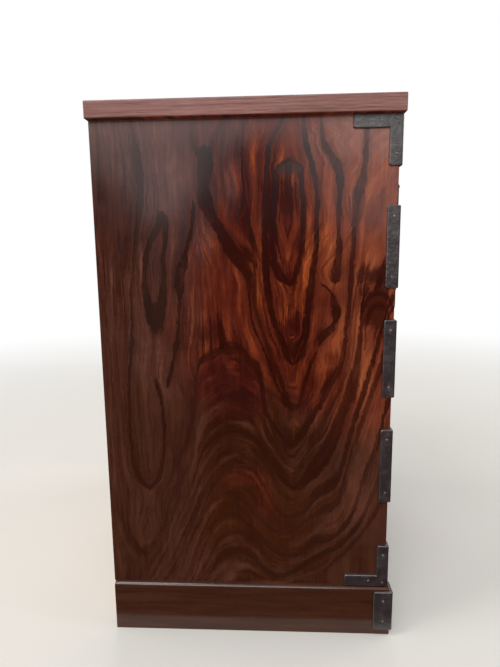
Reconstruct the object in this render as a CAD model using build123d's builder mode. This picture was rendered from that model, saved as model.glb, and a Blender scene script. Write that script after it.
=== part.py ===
from build123d import *
import os

os.makedirs("parts", exist_ok=True)

# A Japanese-style chest of drawers in lacquered rosewood with black iron fittings.
# Four rows of drawers: the two upper rows hold two drawers side by side, the two lower rows one wide drawer.
# Lengths are in millimetres. The drawers face -Y, X runs to the right as they are faced, and Z is up.
# The origin lies on the floor in the middle of the overall box, which runs from the pulls to the top's rear edge.

# Case
case_width = 600.0
case_depth = 450.0
side_thickness = 22.0
back_thickness = 6.0
back_rebate = 8.0
shelf_thickness = 9.0
shelf_dado = 6.0
shelf_lap = 8.0
rail_depth = 45.0
rail_height = 20.0
top_rail_height = 28.0
bottom_rail_height = 30.0
rail_tenon_length = 8.0
rail_tenon_width = 26.0
rail_tenon_setback = 6.0
rail_tenon_shoulder = 4.0
divider_thickness = 18.0
divider_groove = 2.0
edge_round = 1.0

# Drawer openings, counted from the top
upper_opening = 148.0
second_opening = 148.0
third_opening = 152.0
bottom_opening = 168.0

# Top board
top_thickness = 25.0
top_overhang_side = 13.0
top_overhang_front = 6.0
top_overhang_back = 2.0
top_edge_round = 2.0
side_tenon_length = 60.0
side_tenon_thickness = 10.0
side_tenon_height = 12.0
side_tenon_share = 0.34

# Plinth
plinth_height = 82.5
plinth_reveal_side = 8.0
plinth_reveal_front = 7.0
plinth_inset_back = 2.0
plinth_thickness = 24.0
plinth_round = 6.0
corner_block_size = 30.0
corner_block_lift = 8.0

# Drawers
front_thickness = 20.0
front_chamfer = 1.0
drawer_side_gap = 1.0
drawer_top_gap = 1.5
drawer_run_gap = 0.4
drawer_back_gap = 0.5
box_thickness = 10.0
box_drop = 4.0
drawer_bottom_thickness = 6.0
bottom_rebate = 8.0
front_finger_depth = 12.0
finger_count = 5

# Pulls: a bail hangs from two split posts, each through a round plate
pull_half_span = 44.0
pull_standoff = 22.5
pull_rise = 17.0
wide_pull_share = 0.2
plate_radius = 13.0
plate_thickness = 1.6
plate_chamfer = 0.6
eye_radius = 2.58
ring_radius = 5.5
ring_length = 6.0
stem_width = 5.0
stem_height = 4.0
post_clearance = 0.15
clench_length = 13.0
clench_thickness = 1.5
pin_radius = 2.5
bail_radius = 4.0
bail_drop = 36.0
bail_bend = 11.0
knob_radius = 5.0
knob_gap = 1.2

# Irons
iron_thickness = 4.0
iron_leg = 19.0
iron_bend = 3.0
iron_bevel = 1.0
iron_end_round = 3.5
corner_arm = 71.0
corner_iron_lift = 1.0
strap_length = 120.0
plinth_iron_leg = 31.0
plinth_iron_height = 68.0
plinth_iron_lift = 10.0

# Nails through the irons
nail_radius = 1.0
nail_length = 16.0
nail_head_radius = 2.2
nail_head_height = 1.1
nail_head_chamfer = 0.7
nail_clearance = 0.05
nail_inset = 16.0
nail_stagger = 6.0
arm_nail_share = 0.45

# Levels and planes worked out from the sizes
pull_projection = pull_standoff + max(ring_radius, knob_radius)
overall_depth = pull_projection + case_depth + top_overhang_back
front = -overall_depth / 2 + pull_projection
back = front + case_depth
back_inner = back - back_thickness
case_half = case_width / 2
inner_half = case_half - side_thickness
shelf_front = front + rail_depth - shelf_lap

bottom_low = plinth_height + bottom_rail_height
bottom_high = bottom_low + bottom_opening
third_low = bottom_high + rail_height
third_high = third_low + third_opening
second_low = third_high + rail_height
second_high = second_low + second_opening
upper_low = second_high + rail_height
upper_high = upper_low + upper_opening
case_top = upper_high + top_rail_height

plinth_half = case_half + plinth_reveal_side
plinth_front_face = front - plinth_reveal_front
plinth_back_face = back - plinth_inset_back

rail_spans = {
    "bottom_rail": (plinth_height, bottom_low),
    "lower_rail": (bottom_high, third_low),
    "middle_rail": (third_high, second_low),
    "upper_rail": (second_high, upper_low),
    "top_rail": (upper_high, case_top),
}
shelf_levels = {
    "bottom_board": bottom_low,
    "lower_shelf": third_low,
    "middle_shelf": second_low,
    "upper_shelf": upper_low,
}


def block(left, right, near, far, low, high, mode=Mode.ADD):
    with Locations(((left + right) / 2, (near + far) / 2, (low + high) / 2)):
        Box(right - left, far - near, high - low, mode=mode)


def save(piece, name):
    piece.label = name
    export_step(piece, f"parts/{name}.step")


def save_group(pieces, name):
    save(Compound(children=pieces), name)


# Nail places: each plane stands on an iron's outer face and points out of it; side is -1 at the left, 1 at the right
side_face = case_half + iron_thickness
front_face = front - iron_thickness
plinth_side_face = plinth_half + iron_thickness
plinth_iron_face = plinth_front_face - iron_thickness
plinth_iron_top = plinth_iron_lift + plinth_iron_height
corner_base = plinth_height + corner_iron_lift
corner_ends = {"top": (case_top, -1), "bottom": (corner_base, 1)}
strap_rails = ("lower_rail", "middle_rail", "upper_rail")
strap_centres = [sum(rail_spans[name]) / 2 for name in strap_rails]


def side_nail(side, face, y, z):
    return Plane((side * face, y, z), x_dir=(0, 1, 0), z_dir=(side, 0, 0)).location


def front_nail(side, face, x, z):
    return Plane((side * x, face, z), x_dir=(1, 0, 0), z_dir=(0, -1, 0)).location


def case_nail_places(side):
    leg_middle = iron_leg / 2 - iron_thickness
    arm_place = corner_arm * arm_nail_share - iron_thickness
    reach = strap_length / 2 - nail_inset
    places = []
    for centre in strap_centres:
        for z in (centre - reach, centre + reach):
            places.append(side_nail(side, side_face, front + leg_middle, z))
            places.append(front_nail(side, front_face, case_half - leg_middle, z - nail_stagger))
    # the upper corner irons hang from the top of the case, the lower ones stand on its bottom
    for level, turn in corner_ends.values():
        arm_z = level + turn * iron_leg / 2
        tip_z = level + turn * (corner_arm - nail_inset)
        stagger = turn * nail_stagger
        places.append(side_nail(side, side_face, front + leg_middle, arm_z - stagger / 2))
        places.append(side_nail(side, side_face, front + arm_place, arm_z))
        places.append(side_nail(side, side_face, front + leg_middle, tip_z))
        places.append(front_nail(side, front_face, case_half - leg_middle, arm_z + stagger / 2))
        places.append(front_nail(side, front_face, case_half - arm_place, arm_z))
        places.append(front_nail(side, front_face, case_half - leg_middle, tip_z + stagger))
    return places


def plinth_nail_places(side):
    leg_middle = plinth_iron_leg / 2 - iron_thickness
    places = []
    for z in (plinth_iron_lift + nail_inset, plinth_iron_top - nail_inset):
        places.append(side_nail(side, plinth_side_face, plinth_front_face + leg_middle, z))
        places.append(front_nail(side, plinth_iron_face, plinth_half - leg_middle, z - nail_stagger))
    return places


left_nails = case_nail_places(-1)
right_nails = case_nail_places(1)
left_plinth_nails = plinth_nail_places(-1)
right_plinth_nails = plinth_nail_places(1)

with BuildPart() as nail:
    Cylinder(nail_radius, nail_length, align=(Align.CENTER, Align.CENTER, Align.MAX))
    Cylinder(nail_head_radius, nail_head_height, align=(Align.CENTER, Align.CENTER, Align.MIN))
    chamfer(nail.edges().sort_by(Axis.Z)[-1], nail_head_chamfer)

with BuildPart() as nail_hole:
    with Locations((0, 0, nail_head_height)):
        Cylinder(
            nail_radius + nail_clearance,
            nail_length + nail_clearance + nail_head_height,
            align=(Align.CENTER, Align.CENTER, Align.MAX),
        )


def cut_nail_holes(places):
    with Locations(*places):
        add(nail_hole.part, mode=Mode.SUBTRACT)


# Side panels, with dadoes for the shelves, mortises for the rails and tenons into the top board
tenon_centres = [(front + back) / 2 + turn * case_depth * side_tenon_share for turn in (-1, 0, 1)]
tenon_middle = -case_half + side_thickness / 2

with BuildPart() as left_side_panel:
    block(-case_half, -inner_half, front, back, plinth_height, case_top)
    corner_edges = left_side_panel.edges().filter_by(Axis.Z)
    fillet(corner_edges.sort_by_distance((-case_half, front, case_top / 2))[0], edge_round)
    rebate_edge = -inner_half - back_rebate
    block(rebate_edge, -inner_half, back_inner, back, plinth_height, case_top, Mode.SUBTRACT)
    for level in shelf_levels.values():
        dado_bottom = level - shelf_thickness
        block(-inner_half - shelf_dado, -inner_half, shelf_front, back_inner, dado_bottom, level, Mode.SUBTRACT)
    for low, high in rail_spans.values():
        near = front + rail_tenon_setback
        mortise = (near, near + rail_tenon_width, low + rail_tenon_shoulder, high - rail_tenon_shoulder)
        block(-inner_half - rail_tenon_length, -inner_half, *mortise, Mode.SUBTRACT)
    for centre in tenon_centres:
        with Locations((tenon_middle, centre, case_top + side_tenon_height / 2)):
            Box(side_tenon_thickness, side_tenon_length, side_tenon_height)
    cut_nail_holes(left_nails)
save(left_side_panel.part, "left_side_panel")

with BuildPart() as right_side_panel:
    add(mirror(left_side_panel.part, about=Plane.YZ))
save(right_side_panel.part, "right_side_panel")

# Top board
with BuildPart() as top_board:
    top_half = case_half + top_overhang_side
    near = front - top_overhang_front
    block(-top_half, top_half, near, back + top_overhang_back, case_top, case_top + top_thickness)
    fillet(top_board.edges(), top_edge_round)
    for centre in tenon_centres:
        for middle in (tenon_middle, -tenon_middle):
            with Locations((middle, centre, case_top + side_tenon_height / 2)):
                Box(side_tenon_thickness, side_tenon_length, side_tenon_height, mode=Mode.SUBTRACT)
save(top_board.part, "top_board")

# Back panel, let into the side panels
with BuildPart() as back_panel:
    back_half = inner_half + back_rebate
    block(-back_half, back_half, back_inner, back, plinth_height, case_top)
save(back_panel.part, "back_panel")

# Rails across the front; a shelf lies in the rebate behind each one but the top rail
divider_half = divider_thickness / 2

for name, (low, high) in rail_spans.items():
    with BuildPart() as rail:
        block(-inner_half, inner_half, front, front + rail_depth, low, high)
        tenon_half = inner_half + rail_tenon_length
        near = front + rail_tenon_setback
        tenon = (near, near + rail_tenon_width, low + rail_tenon_shoulder, high - rail_tenon_shoulder)
        block(-tenon_half, tenon_half, *tenon)
        if name != "top_rail":
            rebate = (shelf_front, front + rail_depth, high - shelf_thickness, high)
            block(-inner_half, inner_half, *rebate, Mode.SUBTRACT)
        if name in ("middle_rail", "upper_rail"):
            groove = (front, front + rail_depth, high - divider_groove, high)
            block(-divider_half, divider_half, *groove, Mode.SUBTRACT)
        if name in ("upper_rail", "top_rail"):
            groove = (front, front + rail_depth, low, low + divider_groove)
            block(-divider_half, divider_half, *groove, Mode.SUBTRACT)
        if name in ("bottom_rail", "top_rail"):
            cut_nail_holes(left_nails + right_nails)
    save(rail.part, name)

# Shelves that the drawers run on; the lowest one is the bottom of the case
for name, level in shelf_levels.items():
    with BuildPart() as shelf:
        shelf_half = inner_half + shelf_dado
        block(-shelf_half, shelf_half, shelf_front, back_inner, level - shelf_thickness, level)
        if name in ("middle_shelf", "upper_shelf"):
            groove = (shelf_front, back_inner, level - divider_groove, level)
            block(-divider_half, divider_half, *groove, Mode.SUBTRACT)
        if name == "upper_shelf":
            underside = level - shelf_thickness
            groove = (front + rail_depth, back_inner, underside, underside + divider_groove)
            block(-divider_half, divider_half, *groove, Mode.SUBTRACT)
    save(shelf.part, name)

# Dividers between the paired drawers; behind the rail each one reaches up to what lies above it
divider_rows = {
    "upper_divider": (upper_low, upper_high, case_top),
    "second_divider": (second_low, second_high, upper_low - shelf_thickness + divider_groove),
}
for name, (low, high, rear_high) in divider_rows.items():
    foot = low - divider_groove
    head = high + divider_groove
    behind_rail = front + rail_depth
    with BuildPart() as divider:
        with BuildSketch(Plane.YZ.offset(-divider_half)):
            with BuildLine():
                Polyline(
                    (front, foot),
                    (back_inner, foot),
                    (back_inner, rear_high),
                    (behind_rail, rear_high),
                    (behind_rail, head),
                    (front, head),
                    close=True,
                )
            make_face()
        extrude(amount=divider_thickness)
    save(divider.part, name)

# Plinth: four boards under the case, mitred at the front corners, with glued blocks inside
with BuildPart() as plinth_front:
    with BuildSketch():
        with BuildLine():
            Polyline(
                (-plinth_half, plinth_front_face),
                (plinth_half, plinth_front_face),
                (plinth_half - plinth_thickness, plinth_front_face + plinth_thickness),
                (plinth_thickness - plinth_half, plinth_front_face + plinth_thickness),
                close=True,
            )
        make_face()
    extrude(amount=plinth_height)
    ledge = plinth_front.edges().filter_by(Axis.X).sort_by_distance((0, plinth_front_face, plinth_height))[0]
    fillet(ledge, plinth_round)
    cut_nail_holes(left_plinth_nails + right_plinth_nails)
save(plinth_front.part, "plinth_front")

with BuildPart() as plinth_left:
    with BuildSketch():
        with BuildLine():
            Polyline(
                (-plinth_half, plinth_front_face),
                (plinth_thickness - plinth_half, plinth_front_face + plinth_thickness),
                (plinth_thickness - plinth_half, plinth_back_face),
                (-plinth_half, plinth_back_face),
                close=True,
            )
        make_face()
    extrude(amount=plinth_height)
    ledge = plinth_left.edges().filter_by(Axis.Y).sort_by_distance((-plinth_half, 0, plinth_height))[0]
    fillet(ledge, plinth_round)
    cut_nail_holes(left_plinth_nails)
save(plinth_left.part, "plinth_left")

with BuildPart() as plinth_right:
    add(mirror(plinth_left.part, about=Plane.YZ))
save(plinth_right.part, "plinth_right")

with BuildPart() as plinth_back:
    plinth_inner_half = plinth_half - plinth_thickness
    near = plinth_back_face - plinth_thickness
    block(-plinth_inner_half, plinth_inner_half, near, plinth_back_face, 0, plinth_height)
save(plinth_back.part, "plinth_back")

with BuildPart() as plinth_corner_blocks:
    left = -plinth_inner_half
    right = left + corner_block_size
    near = plinth_front_face + plinth_thickness
    far = plinth_back_face - plinth_thickness
    block(left, right, near, near + corner_block_size, corner_block_lift, plinth_height)
    block(left, right, far - corner_block_size, far, corner_block_lift, plinth_height)
    mirror(about=Plane.YZ)
save(plinth_corner_blocks.part, "plinth_corner_blocks")


# Irons: each is one bent plate that wraps the vertical edge at the case's front corner
def angle_bar(corner_x, corner_y, leg, low, high, inner_round=0):
    outer_x = corner_x - iron_thickness
    outer_y = corner_y - iron_thickness
    with BuildSketch(Plane.XY.offset(low)) as section:
        with BuildLine():
            Polyline(
                (outer_x, outer_y),
                (outer_x + leg, outer_y),
                (outer_x + leg, corner_y),
                (corner_x, corner_y),
                (corner_x, outer_y + leg),
                (outer_x, outer_y + leg),
                close=True,
            )
        make_face()
        fillet(section.vertices().sort_by_distance((outer_x, outer_y, low))[0], iron_bend)
        if inner_round:
            fillet(section.vertices().sort_by_distance((corner_x, corner_y, low))[0], inner_round)
    extrude(section.sketch, amount=high - low)


def round_ends(iron, corner_x, corner_y, leg, levels):
    # the corners at the free ends of the two legs; levels are the heights of those ends
    slack = iron_thickness / 100
    tips = []
    for edge in iron.edges():
        centre = edge.center()
        at_end = min(abs(centre.Z - level) for level in levels) < slack
        at_side_tip = abs(centre.Y - (corner_y - iron_thickness + leg)) < slack
        at_front_tip = abs(centre.X - (corner_x - iron_thickness + leg)) < slack
        if at_end and (at_side_tip or at_front_tip):
            tips.append(edge)
    fillet(tips, iron_end_round)


def bevel_outside(iron, corner_x, corner_y):
    # the rim of the outer faces: every edge that lies on them, without the two lines along the bend
    outer_x = corner_x - iron_thickness
    outer_y = corner_y - iron_thickness
    slack = iron_thickness / 100
    rim = []
    for edge in iron.edges():
        centre = edge.center()
        on_side = abs(centre.X - outer_x) < slack
        on_front = abs(centre.Y - outer_y) < slack
        outside_corner = centre.X < corner_x - slack and centre.Y < corner_y - slack
        on_bend = edge.geom_type == GeomType.CIRCLE and edge.radius > iron_bend - slack and outside_corner
        along_bend = edge.length > iron_leg and outside_corner
        if (on_side or on_front or on_bend) and not along_bend:
            rim.append(edge)
    chamfer(rim, iron_bevel)


def side_arm(level, turn):
    low, high = sorted((level, level + turn * iron_leg))
    near = front - iron_thickness + iron_leg
    far = front - iron_thickness + corner_arm
    with BuildSketch(Plane.YZ.offset(-case_half - iron_thickness)) as outline:
        with Locations(((near + far) / 2, (low + high) / 2)):
            Rectangle(far - near, high - low)
        # the sketch's own axes are the case's Y and Z
        for corner in (low, high):
            tip = outline.vertices().sort_by_distance((far, corner, 0))[0]
            fillet(tip, iron_end_round)
    extrude(outline.sketch, amount=iron_thickness)


def front_arm(level, turn):
    low, high = sorted((level, level + turn * iron_leg))
    left = -case_half - iron_thickness + iron_leg
    right = -case_half - iron_thickness + corner_arm
    with BuildSketch(Plane.XZ.offset(-front)) as outline:
        with Locations(((left + right) / 2, (low + high) / 2)):
            Rectangle(right - left, high - low)
        # the sketch's own axes are the case's X and Z
        for corner in (low, high):
            tip = outline.vertices().sort_by_distance((right, corner, 0))[0]
            fillet(tip, iron_end_round)
    extrude(outline.sketch, amount=iron_thickness)


for place, (level, turn) in corner_ends.items():
    with BuildPart() as corner_iron:
        low, high = sorted((level, level + turn * corner_arm))
        angle_bar(-case_half, front, iron_leg, low, high, edge_round)
        round_ends(corner_iron, -case_half, front, iron_leg, [level + turn * corner_arm])
        side_arm(level, turn)
        front_arm(level, turn)
        bevel_outside(corner_iron, -case_half, front)
        cut_nail_holes(left_nails)
    save(corner_iron.part, f"{place}_left_corner_iron")
    with BuildPart() as opposite_iron:
        add(mirror(corner_iron.part, about=Plane.YZ))
    save(opposite_iron.part, f"{place}_right_corner_iron")

with BuildPart() as left_edge_irons:
    for centre in strap_centres:
        low = centre - strap_length / 2
        angle_bar(-case_half, front, iron_leg, low, low + strap_length, edge_round)
    strap_ends = [centre + turn * strap_length / 2 for centre in strap_centres for turn in (-1, 1)]
    round_ends(left_edge_irons, -case_half, front, iron_leg, strap_ends)
    bevel_outside(left_edge_irons, -case_half, front)
    cut_nail_holes(left_nails)
save(left_edge_irons.part, "left_edge_irons")

with BuildPart() as right_edge_irons:
    add(mirror(left_edge_irons.part, about=Plane.YZ))
save(right_edge_irons.part, "right_edge_irons")

with BuildPart() as plinth_irons:
    angle_bar(-plinth_half, plinth_front_face, plinth_iron_leg, plinth_iron_lift, plinth_iron_top)
    plinth_iron_ends = [plinth_iron_lift, plinth_iron_top]
    round_ends(plinth_irons, -plinth_half, plinth_front_face, plinth_iron_leg, plinth_iron_ends)
    bevel_outside(plinth_irons, -plinth_half, plinth_front_face)
    cut_nail_holes(left_plinth_nails)
    mirror(about=Plane.YZ)
save(plinth_irons.part, "plinth_irons")

all_nails = left_nails + right_nails + left_plinth_nails + right_plinth_nails
save_group([nail.part.moved(place) for place in all_nails], "iron_nails")


# Drawers
def finger_spans(low, high):
    step = (high - low) / finger_count
    return [(low + index * step, low + (index + 1) * step) for index in range(finger_count)]


def pull_posts(centre, pivot_z):
    pivot_y = front - pull_standoff
    pieces = []
    for x in (centre - pull_half_span, centre + pull_half_span):
        with BuildPart() as plate:
            with BuildSketch(Plane.XZ.offset(-front)):
                with Locations((x, pivot_z)):
                    Circle(plate_radius)
                    slot_width = stem_width + 2 * post_clearance
                    Rectangle(slot_width, stem_height + 2 * post_clearance, mode=Mode.SUBTRACT)
            extrude(amount=plate_thickness)
            rim = plate.edges().filter_by(GeomType.CIRCLE).sort_by(Axis.Y)[0]
            chamfer(rim, plate_chamfer)
        with BuildPart() as post:
            with BuildSketch(Plane.YZ.offset(x - ring_length / 2)):
                with Locations((pivot_y, pivot_z)):
                    Circle(ring_radius)
            extrude(amount=ring_length)
            inside = front + front_thickness
            shank = (x - stem_width / 2, x + stem_width / 2)
            half_height = stem_height / 2
            block(*shank, pivot_y, inside + clench_thickness, pivot_z - half_height, pivot_z + half_height)
            clench = (inside, inside + clench_thickness, pivot_z - clench_length, pivot_z + clench_length)
            block(*shank, *clench)
            with BuildSketch(Plane.YZ.offset(x - ring_length / 2)):
                with Locations((pivot_y, pivot_z)):
                    Circle(eye_radius)
            extrude(amount=ring_length, mode=Mode.SUBTRACT)
        pieces += [plate.part, post.part]
    return pieces


def make_bail(centre, pivot_z):
    pivot = Plane((centre, front - pull_standoff, pivot_z), x_dir=(1, 0, 0), z_dir=(0, -1, 0))
    arm = pull_half_span + ring_length / 2 + knob_gap + knob_radius
    pin_end = pull_half_span - ring_length / 2 - knob_gap
    with BuildPart() as bail:
        with BuildLine(pivot) as route:
            FilletPolyline((-arm, 0), (-arm, -bail_drop), (arm, -bail_drop), (arm, 0), radius=bail_bend)
        with BuildSketch(Plane(pivot.from_local_coords((-arm, 0, 0)), z_dir=(0, 0, -1))):
            Circle(bail_radius)
        sweep(path=route.line)
        for side in (-1, 1):
            with Locations(pivot.from_local_coords((side * arm, 0, 0))):
                Sphere(knob_radius)
            with Locations(pivot.from_local_coords((side * (arm + pin_end) / 2, 0, 0))):
                Cylinder(pin_radius, arm - pin_end, rotation=(0, 90, 0))
    return bail.part


def make_drawer(name, left, right, low, high, pull_centres):
    left += drawer_side_gap
    right -= drawer_side_gap
    low += drawer_run_gap
    high -= drawer_top_gap
    inside = front + front_thickness
    rear = back_inner - drawer_back_gap
    floor = low + drawer_bottom_thickness
    rim = high - box_drop
    pivot_z = (low + high) / 2 + pull_rise
    spans = finger_spans(floor, rim)
    side_fingers = spans[0::2]
    other_fingers = spans[1::2]

    with BuildPart() as front_board:
        block(left, right, front, inside, low, high)
        outer_face = front_board.faces().sort_by(Axis.Y)[0]
        chamfer(outer_face.edges(), front_chamfer)
        block(left, right, inside - bottom_rebate, inside, low, floor, Mode.SUBTRACT)
        for finger_low, finger_high in side_fingers:
            socket = (inside - front_finger_depth, inside, finger_low, finger_high)
            block(left, left + box_thickness, *socket, Mode.SUBTRACT)
            block(right - box_thickness, right, *socket, Mode.SUBTRACT)
        for centre in pull_centres:
            for x in (centre - pull_half_span, centre + pull_half_span):
                with Locations((x, front + front_thickness / 2, pivot_z)):
                    slot_width = stem_width + 2 * post_clearance
                    Box(slot_width, front_thickness, stem_height + 2 * post_clearance, mode=Mode.SUBTRACT)
    save(front_board.part, f"{name}_front")

    box_sides = []
    for side_left in (left, right - box_thickness):
        side_right = side_left + box_thickness
        with BuildPart() as box_side:
            block(side_left, side_right, inside, rear, floor, rim)
            for finger_low, finger_high in side_fingers:
                finger = (inside - front_finger_depth, inside, finger_low, finger_high)
                block(side_left, side_right, *finger)
            for finger_low, finger_high in other_fingers:
                notch = (rear - box_thickness, rear, finger_low, finger_high)
                block(side_left, side_right, *notch, Mode.SUBTRACT)
        box_sides.append(box_side.part)
    with BuildPart() as box_back:
        block(left + box_thickness, right - box_thickness, rear - box_thickness, rear, floor, rim)
        for finger_low, finger_high in other_fingers:
            block(left, right, rear - box_thickness, rear, finger_low, finger_high)
    save_group([*box_sides, box_back.part], f"{name}_box")

    with BuildPart() as box_bottom:
        block(left, right, inside - bottom_rebate, rear, low, floor)
    save(box_bottom.part, f"{name}_bottom")

    posts = []
    for centre in pull_centres:
        posts += pull_posts(centre, pivot_z)
    save_group(posts, f"{name}_pull_posts")

    bail_names = ["bail"] if len(pull_centres) == 1 else ["left_bail", "right_bail"]
    for bail_name, centre in zip(bail_names, pull_centres):
        save(make_bail(centre, pivot_z), f"{name}_{bail_name}")


pair_middle = (inner_half + divider_half) / 2
wide_pull = case_width * wide_pull_share
for row, low, high in (("upper", upper_low, upper_high), ("second", second_low, second_high)):
    make_drawer(f"{row}_left_drawer", -inner_half, -divider_half, low, high, [-pair_middle])
    make_drawer(f"{row}_right_drawer", divider_half, inner_half, low, high, [pair_middle])
for row, low, high in (("third", third_low, third_high), ("bottom", bottom_low, bottom_high)):
    make_drawer(f"{row}_drawer", -inner_half, inner_half, low, high, [-wide_pull, wide_pull])

print("overall depth", overall_depth, "and height", case_top + top_thickness)
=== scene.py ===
import bpy
import bmesh
import math
from mathutils import Matrix, Vector


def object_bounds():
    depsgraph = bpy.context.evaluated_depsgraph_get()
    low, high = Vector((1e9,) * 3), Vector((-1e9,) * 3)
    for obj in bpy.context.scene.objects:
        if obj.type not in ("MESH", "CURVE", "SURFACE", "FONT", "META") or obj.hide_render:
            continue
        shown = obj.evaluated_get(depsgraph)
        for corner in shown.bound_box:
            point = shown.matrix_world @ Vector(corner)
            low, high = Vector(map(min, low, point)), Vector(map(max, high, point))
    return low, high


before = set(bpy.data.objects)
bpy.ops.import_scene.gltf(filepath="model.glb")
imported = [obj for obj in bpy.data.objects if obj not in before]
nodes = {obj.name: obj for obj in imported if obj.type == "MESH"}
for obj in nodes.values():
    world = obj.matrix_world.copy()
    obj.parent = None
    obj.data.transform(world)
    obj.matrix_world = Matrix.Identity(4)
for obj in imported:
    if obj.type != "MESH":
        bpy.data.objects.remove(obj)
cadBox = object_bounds()
scene = bpy.context.scene
print("frame loaded:", len(nodes), "nodes")


# small helpers for shader trees

def tint(red, green, blue):
    # a colour as it looks on screen, 0 to 255
    def linear(v):
        v = v / 255
        return v / 12.92 if v <= 0.04045 else ((v + 0.055) / 1.055) ** 2.4
    return (linear(red), linear(green), linear(blue), 1)


def feed(value, socket):
    if isinstance(value, bpy.types.NodeSocket):
        socket.id_data.links.new(value, socket)
    else:
        socket.default_value = value


def place(tree, kind, inputs=None, **settings):
    node = tree.nodes.new("ShaderNode" + kind)
    for name, value in settings.items():
        setattr(node, name, value)
    for name, value in (inputs or {}).items():
        feed(value, node.inputs[name])
    return node


def worked(kind, inputs, **settings):
    # a node beside the sockets that it works on; some of the inputs may be plain numbers
    tree = next(value.id_data for value in inputs.values() if isinstance(value, bpy.types.NodeSocket))
    return place(tree, kind, inputs, **settings).outputs


def mathNode(operation):
    def result(*values, clamp=False):
        return worked("Math", dict(enumerate(values)), operation=operation, use_clamp=clamp)[0]
    return result


times, plus, minus, over = [mathNode(kind) for kind in ("MULTIPLY", "ADD", "SUBTRACT", "DIVIDE")]
timesPlus, larger, smaller = [mathNode(kind) for kind in ("MULTIPLY_ADD", "MAXIMUM", "MINIMUM")]
unsigned, root, pingPong = [mathNode(kind) for kind in ("ABSOLUTE", "SQRT", "PINGPONG")]


def after(value, earlier):
    # the value moved by next to nothing, so that it waits for an earlier one:
    # a shader can only keep some 250 values at once, and otherwise works them all out first
    return timesPlus(earlier, 0.0001, value)


def remap(value, fromLow, fromHigh, toLow=0, toHigh=1, smooth=False):
    inputs = {0: value, 1: fromLow, 2: fromHigh, 3: toLow, 4: toHigh}
    return worked("MapRange", inputs, interpolation_type="SMOOTHSTEP" if smooth else "LINEAR")[0]


def mixTint(factor, first, second):
    return worked("Mix", {0: factor, 6: first, 7: second}, data_type="RGBA")[2]


def mixValue(factor, first, second):
    return worked("Mix", {0: factor, 2: first, 3: second}, data_type="FLOAT")[0]


def noise(where, scale=1, detail=2, roughness=0.5):
    return worked("TexNoise", {"Vector": where, "Scale": scale, "Detail": detail, "Roughness": roughness})[0]


def lineNoise(value):
    return worked("TexNoise", {"W": value, "Scale": 1, "Detail": 1}, noise_dimensions="1D")[0]


def vector(x, y, z):
    return worked("CombineXYZ", {0: x, 1: y, 2: z})[0]


def grainNoise(across, fine, along, long, third, detail=2, roughness=0.5):
    # noise scaled by fine across the grain and by long along it
    return noise(vector(times(across, fine), times(along, long), third), 1, detail, roughness)


def ramp(factor, stops):
    # stops are a place from 0 to 1, then red, green and blue as tint takes them
    result = worked("ValToRGB", {0: factor})[0]
    elements = result.node.color_ramp.elements
    while len(elements) < len(stops):
        elements.new(0.5)
    for element, (position, *colour) in zip(elements, stops):
        element.position = position
        element.color = tint(*colour)
    return result


def drawnLine(value, points, handle="AUTO"):
    # a float curve through points given from 0 to 1 both ways, level beyond its first and last point
    points = sorted(points)
    points = [(0, points[0][1])] * (points[0][0] > 0) + points + [(1, points[-1][1])] * (points[-1][0] < 1)
    result = worked("FloatCurve", {"Value": value})[0]
    mapping = result.node.mapping
    line = mapping.curves[0]
    while len(line.points) < len(points):
        line.points.new(0.5, 0.5)
    for point, (x, y) in zip(line.points, points):
        point.location = (x, y)
        point.handle_type = handle
    mapping.extend = "HORIZONTAL"
    mapping.update()
    return result


def newGroup(name, inputs, outputs):
    # inputs as (label, value) and outputs as labels; every socket carries a number
    group = bpy.data.node_groups.new(name, "ShaderNodeTree")
    for label, value in inputs:
        socket = group.interface.new_socket(name=label, in_out="INPUT", socket_type="NodeSocketFloat")
        socket.default_value = value
    for label in outputs:
        group.interface.new_socket(name=label, in_out="OUTPUT", socket_type="NodeSocketFloat")
    return group, group.nodes.new("NodeGroupInput").outputs, group.nodes.new("NodeGroupOutput").inputs


def useGroup(tree, group, inputs=None):
    return place(tree, "Group", inputs, node_tree=group).outputs


def objectSpace(tree):
    return place(tree, "TexCoord").outputs["Object"]


def objectPlace(tree):
    # x, y and z in millimetres; every node's object sits at the origin
    return [times(axis, 1000) for axis in worked("SeparateXYZ", {0: objectSpace(tree)})]


# shared effects

def makeFineGrain():
    # streaks a few millimetres wide, fibres near a millimetre, and short dark pores
    sockets = [("Across", 0), ("Along", 0), ("Depth", 0)]
    tree, given, out = newGroup("fineGrain", sockets, ["Streak", "Fibre", "Pores"])

    def stretched(fine, long):
        shares = (("Across", fine), ("Along", long), ("Depth", fine))
        return vector(*[times(given[label], share) for label, share in shares])

    feed(noise(stretched(0.13, 0.008), 1, 4, 0.6), out["Streak"])
    feed(noise(stretched(0.75, 0.018), 1, 3, 0.6), out["Fibre"])
    pore = noise(stretched(1.3, 0.085), 1, 1, 0.5)
    feed(remap(pore, 0.62, 0.74, smooth=True), out["Pores"])
    return tree


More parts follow.
